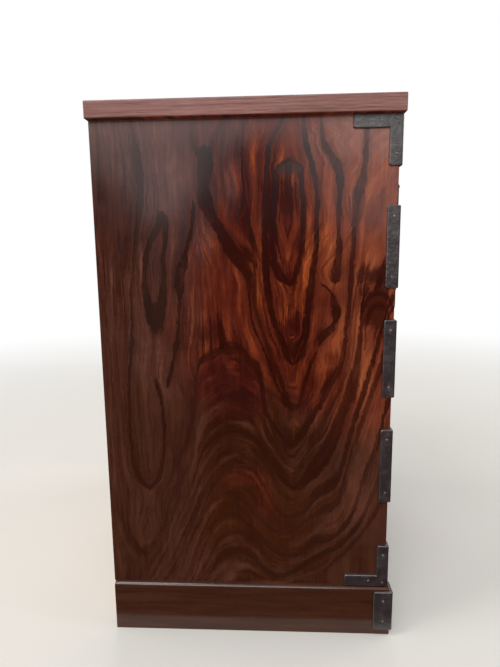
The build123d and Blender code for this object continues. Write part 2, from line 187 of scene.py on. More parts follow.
def makeBoardFigure():
    # bands of dark rosewood veins along the contour lines of a slowly rolling field
    sockets = [("Across", 0), ("Along", 0), ("Depth", 0), ("Seed", 0), ("Roll", 1)]
    tree, given, out = newGroup("boardFigure", sockets, ["Streak", "Vein", "Glow"])
    across, along, seed = given["Across"], given["Along"], given["Seed"]
    lengthwise = timesPlus(along, 0.0021, seed)
    wide = vector(times(across, 0.0055), lengthwise, times(given["Depth"], 0.0022))
    roll = noise(wide, 1, 1.5, 0.45)
    wander = grainNoise(across, 0.03, along, 0.004, seed)
    level = times(across, 0.022)
    level = plus(level, times(times(roll, 11.0), given["Roll"]))
    level = timesPlus(wander, 0.9, level)
    broad = remap(lineNoise(times(level, 1.5)), 0.55, 0.66, smooth=True)
    thin = remap(lineNoise(times(level, 5.2)), 0.6, 0.72, 0, 0.55, smooth=True)
    feed(larger(broad, thin), out["Vein"])
    feed(grainNoise(level, 4.5, along, 0.006, seed, 4, 0.6), out["Streak"])
    feed(roll, out["Glow"])
    return tree


def makeSurfaceWear():
    # how the polish varies: broad cloudiness and fine scuffs
    tree, given, out = newGroup("surfaceWear", [("Cloud", 9), ("Scuff", 60)], ["Cloud", "Scuff"])
    where = objectSpace(tree)
    feed(noise(where, given["Cloud"], 3, 0.55), out["Cloud"])
    feed(noise(where, given["Scuff"], 4, 0.65), out["Scuff"])
    return tree


def makeEdgeWear():
    # 1 on outside edges, broken up by noise
    tree, given, out = newGroup("edgeWear", [("Radius", 0.0015), ("Breakup", 150)], ["Edge"])
    soft = place(tree, "Bevel", {"Radius": given["Radius"]}, samples=4).outputs[0]
    face = place(tree, "NewGeometry").outputs["Normal"]
    turn = worked("VectorMath", {0: soft, 1: face}, operation="DOT_PRODUCT")["Value"]
    edge = remap(turn, 0.995, 0.86, smooth=True)
    broken = remap(noise(objectSpace(tree), given["Breakup"], 3, 0.6), 0.35, 0.65)
    feed(times(edge, broken), out["Edge"])
    return tree


fineGrain = makeFineGrain()
boardFigure = makeBoardFigure()
surfaceWear = makeSurfaceWear()
edgeWear = makeEdgeWear()


def newMaterial(name, look):
    material = bpy.data.materials.new(name)
    material.use_nodes = True
    tree = material.node_tree
    shader = tree.nodes["Principled BSDF"]
    shader.inputs["Specular IOR Level"].default_value = look.get("gloss", 0.5)
    return material, tree, shader


def bump(shader, height, strength, distance):
    normal = worked("Bump", {"Height": height, "Strength": strength, "Distance": distance})[0]
    feed(normal, shader.inputs["Normal"])


def paintPiece(material, *names):
    for name in names:
        for slot in nodes[name].material_slots:
            slot.material = material


def finishWood(tree, shader, look, fine, wood):
    # pores and worn edges over the wood's colour, then its polish and the relief of its fibres
    wear = useGroup(tree, surfaceWear)
    edge = useGroup(tree, edgeWear)["Edge"]
    wood = mixTint(times(fine["Pores"], look["pores"]), wood, look["poreTint"])
    wood = mixTint(times(edge, look["wear"]), wood, look["worn"])
    feed(wood, shader.inputs["Base Color"])
    rough = remap(wear["Cloud"], 0.3, 0.7, *look["polish"])
    rough = timesPlus(wear["Scuff"], look["scuff"], rough)
    if "edgeScuff" in look:
        rough = timesPlus(edge, look["edgeScuff"], rough)
    feed(rough, shader.inputs["Roughness"])
    height = timesPlus(fine["Pores"], -look["poreDepth"], fine["Fibre"])
    bump(shader, height, *look["relief"])


# rosewood on every board but the sides

rosewood = {
    "gloss": 0.42,
    "polish": (0.13, 0.24),  # lowest and highest roughness
    "wood": [(0.22, 42, 13, 8), (0.42, 74, 27, 15), (0.56, 100, 42, 22), (0.78, 146, 72, 38)],
    "vein": tint(34, 9, 6),
    "veinStrength": 0.85,
    "pores": 0.35,
    "poreTint": tint(22, 10, 8),
    "poreDepth": 0.6,
    "relief": (0.12, 0.0004),  # strength, and depth in metres
    "wear": 0.3,  # how much of the worn tint shows at an edge
    "worn": tint(120, 66, 44),
    "scuff": 0.06,  # how much rougher where scuffed, and at an edge
    "edgeScuff": 0.15,
    "topEdge": [(0.36, 80, 46, 42), (0.5, 112, 71, 65), (0.64, 134, 91, 83)],
}


def narrowEdge(tree):
    # 1 on faces that stand upright
    normal = place(tree, "NewGeometry").outputs["Normal"]
    return remap(unsigned(worked("SeparateXYZ", {0: normal})[2]), 0.75, 0.45, smooth=True)


def straightGrain(axes, stops):
    # lines that run level along an edge, as on a board sawn across its rings
    x, y, z = axes
    length = plus(x, y)
    coarse = grainNoise(length, 0.006, z, 0.3, 1, 4, 0.65)
    fine = grainNoise(length, 0.03, z, 1.6, 2, 2, 0.6)
    return ramp(timesPlus(fine, 0.5, times(coarse, 0.5)), stops)


def rosewoodBoard(name, across, along, depth, seed, roll=1.0, look=rosewood, edgeWood=None):
    # across, along and depth name the axis, X 0, Y 1 or Z 2, that each one follows;
    # edgeWood gives the board's narrow edges a colour of their own
    material, tree, shader = newMaterial(name, look)
    axes = objectPlace(tree)
    grain = {"Across": axes[across], "Along": axes[along], "Depth": axes[depth]}
    fine = useGroup(tree, fineGrain, grain)
    figure = useGroup(tree, boardFigure, {**grain, "Seed": seed, "Roll": roll})
    tone = timesPlus(fine["Streak"], 0.45, times(figure["Streak"], 0.45))
    tone = timesPlus(fine["Fibre"], 0.25, minus(tone, 0.1))
    tone = timesPlus(figure["Glow"], 0.3, minus(tone, 0.12))
    wood = ramp(tone, look["wood"])
    dark = remap(figure["Streak"], 0.4, 0.6, 0.6 * look["veinStrength"], look["veinStrength"])
    wood = mixTint(times(figure["Vein"], dark), wood, look["vein"])
    if edgeWood:
        wood = mixTint(narrowEdge(tree), wood, straightGrain(axes, edgeWood))
    finishWood(tree, shader, look, fine, wood)
    return material


frontLook = rosewoodBoard("rosewoodFronts", 2, 0, 1, 7.4, 1.2)
railLook = rosewoodBoard("rosewoodRails", 2, 0, 1, 1.7, 0.4)
uprightLook = rosewoodBoard("rosewoodUprights", 0, 2, 1, 5.2, 0.4)
topLook = rosewoodBoard("rosewoodTop", 1, 0, 2, 9.3, 0.8, edgeWood=rosewood["topEdge"])

drawers = ["upper_left", "upper_right", "second_left", "second_right", "third", "bottom"]
paintPiece(frontLook, *[drawer + "_drawer_front" for drawer in drawers])
paintPiece(railLook, "bottom_rail", "lower_rail", "middle_rail", "upper_rail", "top_rail")
paintPiece(uprightLook, "upper_divider", "second_divider")
paintPiece(topLook, "top_board")
print("rosewood boards done")


# the sides: two wide boards from one log, so that they mirror each other, with a figure drawn line by line
# t runs forward from the back edge and z up from the floor, both in millimetres

sideBoard = {
    "gloss": 0.55,
    "polish": (0.1, 0.17),
    "pores": 0.3,
    "poreTint": tint(24, 9, 6),
    "poreDepth": 0.6,
    "relief": (0.06, 0.0004),
    "wear": 0.2,
    "worn": tint(110, 58, 38),
    "scuff": 0.04,
    "edgeScuff": 0.15,
    "backEdge": 238,  # y of the back edge
    "reach": 500,  # the drawing's size, a little over the board's, and its widest half line
    "tall": 900,
    "widest": 60,
    "stepReach": 26,  # lines nearer to each other than this share fewer fine streaks
    "lowLevel": 20,  # where the lower half's grain starts, and half the height over which it takes over
    "lowBlend": 3,
    "tone": 0.48,  # where wood without streaks stands on its palette
    # how much of the back's and the front's tints shows, from the back edge at 0
    "backness": [(0, 1), (0.14, 1), (0.22, 0.75), (0.3, 0.4), (0.36, 0.08), (0.42, 0), (1, 0)],
    "frontness": [(0, 0), (0.64, 0), (0.7, 0.35), (0.76, 0.7), (0.84, 1), (1, 1)],
    "frontDarker": (540, 620, 0.7, 1),  # two heights, and how much of the front's tint shows at each
    "paintedReflection": (765, 816, 0, 0.1),  # the same for a painted reflection: a pale veil of the room's light near the top
    "paintedReflectionTint": tint(160, 122, 118),
    "foot": (510, 395),  # heights between which the foot's tints take over
    # the lines' tints, by height, paler and greyer near the top with a painted reflection over them, and the
    # one that they take at the back
    "veinAndReflectionTints": [(0.1, 39, 14, 5), (0.45, 37, 6, 1), (0.7, 36, 6, 3), (0.82, 32, 18, 19)],
    "backVein": tint(37, 20, 15),
}

# lines that run down the board: how dark, points (t, z), half widths (z, mm)
belowSmallEye = [
    (89, 500), (87, 460), (85, 425), (92, 400), (92, 320),
    (80, 265), (67, 245), (60, 190), (53, 126), (52, 82),
]
downLines = {
    "outerLeft": (0.5,
        [(12, 816), (10, 400), (8, 300), (12, 240), (14, 205), (25, 175), (38, 148), (47, 134), (53, 126),
         (52, 82)],
        [(260, 0), (205, 2.5), (175, 3), (148, 4), (138, 5), (128, 0)]),
    "back": (0.82,
        [(62, 816), (66, 790), (72, 755), (71, 700), (62, 650), (54, 600), (50, 540), (47, 480), (42, 430),
         (40, 380), (40, 320), (45, 282), (56, 257), (67, 245), (60, 190), (53, 126), (52, 82)],
        [(816, 2.5), (790, 3.5), (755, 5.5), (700, 4.5), (650, 2.6), (600, 1.2), (500, 1.5), (480, 4),
         (460, 2), (380, 2), (320, 2.2), (282, 3.5), (262, 6), (250, 4), (243, 0)]),
    "smallEyeBack": (0.95,
        [(94, 816), (102, 686), (98, 670), (91, 655), (83, 641), (77, 624), (74, 604), (73, 590), (76, 555),
         (82, 525)] + belowSmallEye,
        [(690, 0), (682, 4), (668, 6.5), (650, 6), (636, 4.5), (620, 3.6), (600, 3.6), (580, 4.2), (560, 6),
         (530, 8), (508, 5.5), (498, 0)]),
    "smallEyeFront": (0.9,
        [(94, 816), (103, 686), (108, 676), (109, 662), (107, 645), (104, 620), (102, 580), (97, 545),
         (92, 515)] + belowSmallEye,
        [(690, 0), (682, 3.5), (672, 5), (655, 3.8), (640, 3.2), (600, 3.4), (580, 4), (545, 7), (515, 5.5),
         (498, 0), (440, 0), (425, 2), (400, 2.5), (320, 2.2), (265, 4), (250, 4), (243, 0)]),
    "middle": (0.95,
        [(153, 816), (155, 760), (152, 715), (150, 690), (147, 660), (142, 640), (134, 615), (128, 590),
         (126, 560), (124, 530), (121, 500), (117, 480), (112, 460), (107, 440), (102, 420), (104, 400),
         (106, 350), (103, 300), (95, 250), (87, 215), (78, 180), (64, 150), (53, 126), (52, 82)],
        [(712, 0), (690, 2.5), (640, 3), (620, 4.5), (600, 8), (575, 8), (560, 4), (530, 2.2), (500, 3.5),
         (485, 5), (470, 3), (440, 3), (425, 3), (412, 0)]),
    "outerRight": (0.6,
        [(158, 816), (158, 760), (156, 700), (156, 640), (155, 560), (153, 500), (150, 460), (147, 430),
         (143, 385), (136, 345), (126, 315), (118, 300), (116, 270), (108, 245), (100, 230), (97, 210),
         (91, 188), (80, 170), (68, 150), (53, 126), (52, 82)],
        [(600, 0), (540, 1), (460, 2), (400, 2.2), (345, 2.4), (300, 3.2), (245, 2.8), (200, 3.4), (150, 4),
         (136, 5), (126, 0)]),
    "main": (0.95,
        [(171, 816), (170, 790), (170, 750), (167, 722), (169, 700), (177, 678), (191, 655), (200, 640),
         (212, 622), (224, 605), (231, 580), (233, 560), (236, 530), (242, 505), (250, 487), (259, 465),
         (267, 445), (272, 425), (280, 408), (288, 392), (298, 376), (298, 82)],
        [(782, 0), (776, 10), (750, 12), (722, 9.5), (700, 11), (678, 10), (655, 10), (640, 11), (622, 14),
         (605, 11), (580, 5), (560, 2.2), (530, 1.6), (500, 1.6), (460, 1.8), (420, 2.2), (400, 4), (386, 5),
         (378, 0)]),
    "mainBranch": (0.75,
        [(199, 816), (190, 800), (184, 786), (180, 768), (176, 745), (174, 82)],
        [(816, 5), (800, 5), (780, 4), (765, 4), (745, 0)]),
    "backBranch": (0.75,
        [(146, 816), (150, 796), (155, 780), (160, 765), (164, 745), (164, 82)],
        [(808, 0), (798, 2), (780, 4), (765, 4), (745, 0)]),
    "besideMain": (0.85,
        [(228, 816), (224, 760), (226, 715), (229, 690), (233, 665), (240, 640), (241, 610), (240, 580),
         (242, 550), (248, 520), (256, 495), (264, 470), (273, 448), (281, 425), (289, 402), (298, 380),
         (298, 82)],
        [(816, 1.5), (760, 1.5), (700, 1.5), (665, 3.5), (640, 4), (610, 2.5), (575, 4.5), (540, 4.5),
         (500, 3.6), (450, 4), (410, 3.5), (392, 3.5), (382, 0)]),
    "besideRing": (0.6,
        [(262, 816), (254, 795), (248, 770), (246, 740), (245, 700), (246, 660), (248, 620), (250, 580),
         (254, 545), (260, 518), (267, 495), (276, 475), (286, 458), (298, 444), (298, 82)],
        [(780, 0), (760, 1.8), (720, 1.8), (680, 1.4), (640, 0.8), (600, 1.6), (560, 1), (520, 1.4),
         (480, 1.2), (455, 0)]),
    "ringBack": (0.95,
        [(284, 816), (274, 797), (263, 777), (260, 750), (257, 710), (256, 660), (257, 610), (260, 575),
         (264, 545), (269, 520), (276, 498), (283, 480), (290, 464), (298, 450), (298, 82)],
        [(816, 2.6), (790, 4.5), (750, 4), (700, 4), (650, 4.5), (600, 5.5), (560, 5.5), (520, 4), (490, 3.5),
         (470, 3.5), (458, 2.5), (451, 0)]),
    "innerRing": (0.6,
        [(292, 816), (283, 797), (272, 777), (269, 750), (267, 710), (266, 660), (266, 620), (268, 590),
         (272, 555), (278, 525), (286, 500), (298, 480), (298, 82)],
        [(816, 1), (790, 1.6), (750, 1.6), (700, 2), (650, 2), (610, 1), (560, 0)]),
    "eyeBack": (0.95,
        [(293, 816), (293, 757), (280, 751), (274, 740), (271, 720), (270, 700), (269, 660), (269, 630),
         (271, 608), (277, 594), (284, 582), (293, 572), (298, 450), (298, 82)],
        [(762, 0), (755, 5), (745, 5), (725, 4.5), (660, 4.5), (620, 4), (600, 7), (585, 8), (576, 4),
         (571, 0)]),
    "eyeFront": (0.9,
        [(293, 816), (293, 757), (304, 751), (309, 740), (312, 715), (313, 690), (313, 660), (312, 630),
         (308, 608), (302, 590), (297, 580), (293, 572), (298, 450), (298, 82)],
        [(762, 0), (755, 5), (745, 5), (725, 4), (660, 4), (620, 4), (600, 4.5), (585, 5), (577, 3),
         (571, 0)]),
    "ringFront": (0.95,
        [(313, 816), (314, 795), (317, 775), (325, 750), (331, 725), (333, 700), (333, 660), (330, 615),
         (326, 580), (323, 550), (320, 520), (318, 500), (314, 478), (307, 462), (298, 450), (298, 82)],
        [(816, 3), (780, 4), (740, 4), (700, 4), (660, 4), (600, 4.5), (560, 5), (520, 4), (490, 3.5),
         (470, 3.5), (458, 2.5), (451, 0)]),
    "knot": (0.9,
        [(338, 816), (340, 790), (346, 772), (355, 760), (362, 745), (366, 725), (366, 700), (365, 660),
         (366, 625), (364, 605), (362, 588), (360, 570), (358, 545), (353, 515), (343, 492), (333, 472),
         (325, 448), (319, 425), (312, 402), (305, 386), (298, 376), (298, 82)],
        [(816, 1.5), (790, 3), (765, 7), (745, 6.5), (720, 4.5), (680, 3), (640, 4), (610, 6), (592, 9),
         (580, 6), (573, 0), (480, 0), (468, 2.5), (440, 3), (405, 3), (390, 3.5), (378, 0)]),
    "hook": (0.95,
        [(330, 816), (330, 600), (336, 583), (346, 573), (356, 562), (361, 548), (364, 532), (361, 518),
         (354, 508), (349, 502), (343, 497), (340, 488), (337, 478), (335, 468), (335, 82)],
        [(584, 0), (576, 1.4), (567, 2), (556, 5.5), (541, 8), (528, 5.5), (518, 3), (510, 7.5), (501, 9),
         (493, 4.5), (485, 1.6), (475, 0)]),
    "sweep": (0.85,
        [(402, 816), (402, 770), (402, 750), (398, 730), (393, 712), (389, 690), (387, 660), (386, 620),
         (385, 580), (383, 540), (380, 510), (376, 480), (371, 455), (362, 436), (352, 420), (346, 400),
         (338, 385), (327, 368), (318, 350), (308, 333), (298, 320), (298, 82)],
        [(816, 3.5), (770, 4), (740, 4), (712, 8.5), (690, 5), (640, 3.5), (580, 4), (540, 3), (480, 3.5),
         (450, 4.5), (436, 8), (420, 8), (400, 4.5), (368, 4.5), (340, 6), (325, 6), (317, 0)]),
    "besideSweep": (0.5,
        [(412, 816), (411, 770), (410, 740), (405, 720), (399, 690), (397, 650), (396, 610), (395, 570),
         (394, 530), (391, 490), (386, 455), (376, 425), (365, 400), (354, 380), (342, 360), (330, 342),
         (316, 325), (300, 312), (298, 82)],
        [(600, 0), (560, 0.8), (520, 1.2), (470, 1.6), (420, 1.6), (380, 1.8), (345, 2), (320, 0)]),
}

# how the level of the grain changes from one line to the next: by a slope, or by a fold that comes back
levelSteps = [
    (None, "outerLeft", 10, 0), ("outerLeft", "back", 30, 0), ("back", "smallEyeBack", 0, 20),
    ("smallEyeBack", "smallEyeFront", 0, 15), ("smallEyeFront", "middle", -15, 0),
    ("middle", "outerRight", -15, 0), ("outerRight", "main", 10, 18), ("main", "besideMain", 12, 0),
    ("besideMain", "ringBack", 18, 0), ("ringBack", "eyeBack", 20, 0), ("eyeBack", "eyeFront", 0, 24),
    ("eyeFront", "ringFront", -20, 0), ("ringFront", "knot", -18, 0), ("knot", "sweep", -12, 0),
    ("sweep", None, 20, 0),
]

# lines that run across the lower half: how dark, how much the level rises from the line above,
# points (t, z), half heights (t, mm); the last two, at the front edge, stand outside that order
acrossLines = {
    "arch": (0.8, 0,
        [(0, 60), (52, 84), (62, 132), (75, 152), (90, 182), (98, 215), (104, 238), (116, 268), (120, 300),
         (137, 345), (147, 430), (153, 455), (162, 463), (175, 470), (200, 480), (215, 476), (230, 462),
         (243, 447), (248, 425), (252, 400), (262, 368), (278, 342), (297, 320), (308, 333), (327, 368),
         (346, 400), (362, 436), (371, 455), (380, 510), (386, 600), (390, 690), (402, 800), (450, 816)],
        [(140, 0), (155, 6), (170, 8), (185, 7), (200, 10), (215, 11), (230, 9), (242, 12), (250, 26),
         (262, 4), (285, 4), (300, 3), (310, 0)]),
    "wideBand": (0.85, 18,
        [(0, 40), (60, 82), (100, 160), (125, 225), (140, 265), (150, 298), (162, 322), (180, 338),
         (205, 346), (225, 342), (245, 328), (258, 308), (272, 285), (288, 265), (300, 255), (312, 262),
         (325, 278), (338, 292), (350, 312), (362, 338), (375, 372), (383, 400), (391, 425), (397, 450),
         (402, 505), (404, 560), (415, 590), (430, 640), (450, 700)],
        [(125, 0), (150, 3), (200, 3), (245, 5), (272, 5), (300, 7), (325, 15), (345, 24), (362, 28),
         (375, 30), (390, 32), (400, 50), (405, 30), (412, 0)]),
    "brightArch": (0.85, 14,
        [(0, 30), (80, 84), (110, 130), (130, 175), (150, 215), (165, 245), (180, 270), (195, 281),
         (212, 286), (235, 279), (250, 256), (265, 225), (285, 203), (305, 206), (320, 218), (335, 238),
         (352, 249), (366, 262), (376, 285), (388, 335), (400, 385), (412, 430), (430, 500), (450, 560)],
        [(150, 0), (180, 3), (215, 3), (250, 4), (285, 4), (305, 5), (335, 6), (352, 8), (366, 12), (376, 14),
         (388, 16), (412, 16), (430, 14), (445, 0)]),
    "underArch": (0.75, 9,
        [(0, 20), (110, 84), (130, 130), (150, 185), (170, 220), (185, 235), (200, 241), (215, 238),
         (230, 222), (245, 200), (262, 181), (290, 172), (305, 180), (318, 192), (345, 214), (365, 224),
         (376, 244), (390, 300), (408, 370), (420, 410), (432, 450), (450, 500)],
        [(180, 0), (215, 3), (262, 3), (305, 4), (330, 5), (350, 7), (365, 7), (376, 14), (390, 14),
         (408, 13), (432, 14), (450, 10)]),
    "lowArch": (0.85, 9,
        [(0, 10), (128, 84), (145, 130), (160, 165), (175, 188), (190, 201), (203, 204), (218, 196),
         (240, 170), (262, 147), (290, 134), (310, 138), (322, 148), (335, 160), (352, 164), (366, 170),
         (380, 185), (393, 210), (405, 245), (412, 270), (422, 300), (432, 335), (450, 400)],
        [(180, 0), (205, 3), (262, 4), (300, 4), (322, 6), (335, 8), (350, 8), (366, 6), (380, 7), (393, 9),
         (412, 12), (432, 14), (450, 10)]),
    "footArch": (0.85, 10,
        [(0, 5), (150, 84), (165, 108), (178, 124), (190, 134), (205, 140), (220, 137), (235, 126),
         (250, 110), (275, 97), (300, 104), (325, 122), (350, 138), (370, 150), (385, 165), (400, 185),
         (410, 202), (425, 240), (450, 300)],
        [(155, 0), (178, 5), (205, 6), (235, 4), (275, 4), (325, 5), (350, 5), (385, 7), (410, 9), (425, 10),
         (450, 10)]),
    "frontFoot": (0.7, 10,
        [(0, 2), (310, 84), (340, 98), (370, 125), (390, 148), (405, 170), (425, 200), (450, 240)],
        [(340, 0), (370, 4), (405, 6), (450, 8)]),
    "outerEdgeArch": (0.8, 0,
        [(0, 300), (395, 470), (401, 515), (405, 541), (413, 557), (425, 563), (438, 557), (450, 538)],
        [(398, 0), (402, 9), (408, 6), (414, 4), (425, 3.5), (438, 4), (450, 5)]),
    "innerEdgeArch": (0.7, 0,
        [(0, 280), (402, 465), (408, 512), (413, 533), (425, 545), (438, 537), (450, 505)],
        [(404, 0), (409, 8), (415, 5), (425, 4), (440, 5), (450, 6)]),
}

# soft patches: centre t and z, half sizes, strength; the first ones are as dark as a line
darkPatches = {
    "eyeCap": (292, 745, 19, 11, 0.95),
    "eyeFoot": (290, 586, 10, 10, 0.7),
    "smallEyeFoot": (89, 533, 9, 28, 0.85),
    "smallEyeHead": (102, 666, 8, 15, 0.8),
    "ringFoot": (299, 480, 18, 20, 0.85),
    "vFoot": (297, 390, 12, 9, 0.45),
    "lowVFoot": (298, 327, 14, 11, 0.5),
    "edgeKnot": (422, 589, 33, 18, 0.85),
    "sweepBand": (397, 455, 6, 42, 0.5),
    "edgeKnotTail": (406, 566, 8, 12, 0.7),
    "foot": (53, 138, 11, 10, 0.75),
    "mainFoot": (224, 616, 15, 15, 0.8),
    "sweepKnot": (356, 437, 10, 12, 0.6),
}
# lighter or darker wood
tonePatches = {
    "eyeMaroon": (288, 706, 20, 30, -0.22),
    "eyeGlow": (296, 658, 14, 24, 0.08),
    "eyeLow": (297, 616, 11, 15, 0.1),
    "ringGlow": (293, 552, 24, 24, -0.05),
    "ringShade": (298, 512, 22, 26, -0.3),
    "orangeBand": (247, 600, 7, 62, 0.22),
    "orangeBelow": (240, 505, 15, 56, 0.14),
    "orangeFront": (322, 620, 9, 60, 0.26),
    "frontGlowHigh": (330, 715, 24, 56, 0.1),
    "orangeOuter": (352, 625, 20, 60, 0.22),
    "sweepGlow": (366, 500, 16, 44, 0.26),
    "orangeLow": (338, 458, 22, 26, 0.14),
    "vGlow": (298, 425, 12, 20, 0.06),
    "vGlowLow": (298, 357, 14, 10, 0.18),
    "topStripes": (240, 770, 9, 46, 0.08),
    "frontStripe": (393, 570, 7, 50, 0.14),
    "edgeArchShade": (418, 544, 30, 32, -0.34),
    "backBand": (86, 430, 56, 60, 0.12),
    "lowBackShade": (130, 220, 22, 50, -0.1),
    "frontLow": (416, 265, 24, 110, 0.2),
    "redShade": (208, 385, 36, 30, -0.14),
    "edgeGlow": (418, 494, 11, 24, 0.1),
    "edgeGlowLow": (404, 448, 12, 34, 0.18),
    "lens": (178, 504, 26, 26, -0.22),
    "besideSmallEye": (69, 612, 4, 28, 0.3),
    "smallEyeShade": (91, 610, 9, 44, -0.12),
    "besideEyeFoot": (110, 545, 6, 40, 0.12),
    "behindEyeFoot": (66, 548, 6, 40, 0.12),
    "ringMaroon": (263, 650, 8, 66, -0.26),
    "footShade": (212, 190, 32, 110, -0.1),
    "shadeByMain": (212, 688, 12, 18, -0.08),
    "shadeBack": (30, 690, 42, 120, -0.14),
    "archGlow": (250, 240, 14, 40, 0.04),
    "archTop": (214, 270, 36, 14, 0.1),
    "wellShade": (286, 310, 58, 50, -0.2),
    "redDark": (205, 432, 44, 34, -0.12),
    "archShade": (205, 340, 38, 34, -0.13),
    "frontUpper": (402, 688, 30, 28, -0.15),
    "edgeLift": (410, 416, 13, 42, 0.17),
    "frontTopLift": (410, 786, 44, 44, 0.08),
    "frontBandLift": (372, 300, 10, 34, 0.13),
    "frontFootLift": (384, 200, 36, 60, 0.12),
    "besideMainLift": (212, 732, 13, 26, 0.14),
    "backLift": (130, 742, 22, 34, 0.12),
}
# wood of another palette, which is named first
tintPatches = {
    "foot": ("footMiddle", 246, 240, 96, 165, 0.9),
    "archTopEmber": ("middle", 222, 270, 36, 15, 0.55),
    "archSideEmber": ("middle", 252, 238, 15, 42, 0.5),
    "topFrontPink": ("pink", 402, 800, 74, 50, 0.85),
    "redPatch": ("red", 205, 420, 50, 40, 0.8),
    "redBelow": ("red", 205, 372, 40, 18, 0.4),
    "eyeRed": ("red", 286, 700, 16, 34, 0.6),
    "ringRed": ("red", 264, 660, 10, 90, 0.8),
    "sideRed": ("red", 200, 560, 34, 40, 0.35),
    "upperRed": ("red", 212, 725, 20, 52, 0.4),
}
# greyish wood under the lines, then grey over them
greyWash = {
    "upperBack": (92, 745, 108, 88, 0.5),
    "besideVein": (198, 740, 30, 60, 0.35),
    "topSmear": (204, 798, 30, 26, 0.5),
    "underVein": (160, 655, 26, 40, 0.4),
    "besideMiddle": (126, 625, 20, 60, 0.35),
}
greyPatches = {
    "eyeCapGrey": (292, 744, 17, 9, 0.4),
    "smallEyeFill": (91, 606, 8, 44, 0.35),
}
# places where the lines are faint
faintPatches = {
    "lowMiddle": (235, 225, 95, 130, 0.5),
    "lowBack": (110, 190, 60, 110, 0.25),
    "lowFront": (420, 272, 38, 74, 0.4),
}
# places where the wood is plain: its streaks fade
calmPatches = {
    "aboveEye": (293, 792, 26, 34, 0.85),
    "backPlain": (60, 730, 100, 110, 0.35),
    "frontPlain": (426, 680, 26, 100, 0.75),
    "redPlain": (205, 415, 42, 44, 0.7),
    "eyePlain": (288, 708, 18, 34, 0.8),
    "lowPlain": (262, 215, 84, 130, 0.4),
    "lowBackPlain": (80, 180, 80, 120, 0.2),
    "besideLens": (190, 590, 36, 80, 0.55),
    "underRed": (178, 352, 50, 30, 0.45),
    "underRing": (292, 430, 26, 34, 0.3),
}


def makeFigureLine():
    # how dark a drawn line is at a distance from its middle, with a faint shade beside it
    sockets = [("Distance", 0), ("Half Width", 1), ("Dark", 1), ("Fray", 0.5)]
    tree, given, out = newGroup("figureLine", sockets, ["Mask"])
    away = unsigned(given["Distance"])
    uneven = timesPlus(given["Fray"], 0.8, 0.7)
    half = times(given["Half Width"], uneven)
    core = remap(away, timesPlus(half, 1.1, 0.9), times(half, 0.7), smooth=True)
    strength = times(given["Dark"], remap(given["Fray"], 0.3, 0.55, 0.8, 1))
    # a line whose width runs out fades away instead of ending as a hair
    strength = times(strength, times(given["Half Width"], 0.8, clamp=True))
    shade = remap(away, plus(half, 9), times(half, 0.8), 0, 0.3, smooth=True)
    shade = times(shade, smaller(times(half, 0.4), 1))
    feed(larger(times(core, strength), shade), out["Mask"])
    return tree


def makeSoftPatch():
    sockets = [("Across", 0), ("Up", 0), ("Centre Across", 0), ("Centre Up", 0)]
    sockets += [("Half Across", 1), ("Half Up", 1), ("Fray", 0.5)]
    tree, given, out = newGroup("softPatch", sockets, ["Mask"])
    a = over(minus(given["Across"], given["Centre Across"]), given["Half Across"])
    b = over(minus(given["Up"], given["Centre Up"]), given["Half Up"])
    away = root(plus(times(a, a), times(b, b)))
    away = timesPlus(minus(given["Fray"], 0.5), 3.2, away)
    feed(remap(away, 1.35, 0.55, smooth=True), out["Mask"])
    return tree


figureLine = makeFigureLine()
softPatch = makeSoftPatch()


def makeSideFigure(board):
    # the lines' mask, how the grain flows between them (level and along), and where the lower half is
    sockets = [("Across", 0), ("Up", 0), ("Fray", 0.5)]
    tree, given, out = newGroup("sideFigure", sockets, ["Vein", "Level", "Along", "Lower"])
    across, up = given["Across"], given["Up"]
    reach, tall, widest = board["reach"], board["tall"], board["widest"]
    acrossShare, upShare = over(across, reach), over(up, tall)
    centres = {}

    def addLine(vein, name, dark, points, widths, position, share, length, depth):
        # points and widths go by the place along the line; each line waits for the one before it
        along = after(share, vein)
        centre = drawnLine(along, [(start / length, side / depth) for start, side in points])
        centres[name] = times(centre, depth)
        half = drawnLine(along, [(start / length, wide / widest) for start, wide in widths], "AUTO_CLAMPED")
        half = times(half, widest)
        away = minus(position, centres[name])
        drawn = {"Distance": away, "Half Width": half, "Dark": dark, "Fray": given["Fray"]}
        return larger(vein, useGroup(tree, figureLine, drawn)["Mask"])

    vein = 0
    for name, (dark, points, widths) in downLines.items():
        downward = [(z, t) for t, z in points]
        vein = addLine(vein, name, dark, downward, widths, across, upShare, tall, reach)

    def room(low, high, amount):
        # fine streaks thin out where two lines draw together
        return times(over(minus(high, low), board["stepReach"], clamp=True), amount)

    level = 0
    for first, second, slope, fold in levelSteps:
        low = 0 if first is None else centres[first]
        high = reach if second is None else centres[second]
        if slope:
            level = plus(level, remap(across, low, high, 0, room(low, high, slope)))
        if fold:
            wave = pingPong(remap(across, low, high, 0, 2), 1)
            level = timesPlus(wave, room(low, high, fold), level)
    lowLevel, last = board["lowLevel"], None
    for name, (dark, gap, points, widths) in acrossLines.items():
        vein = addLine(vein, name, dark, points, widths, up, acrossShare, reach, tall)
        if gap:
            lowLevel = plus(lowLevel, remap(up, centres[last], centres[name], 0, gap))
        last = name

    lower = remap(minus(centres["arch"], up), -board["lowBlend"], board["lowBlend"], smooth=True)
    feed(mixValue(lower, level, lowLevel), out["Level"])
    feed(mixValue(lower, up, across), out["Along"])
    feed(lower, out["Lower"])
    feed(vein, out["Vein"])
    return tree


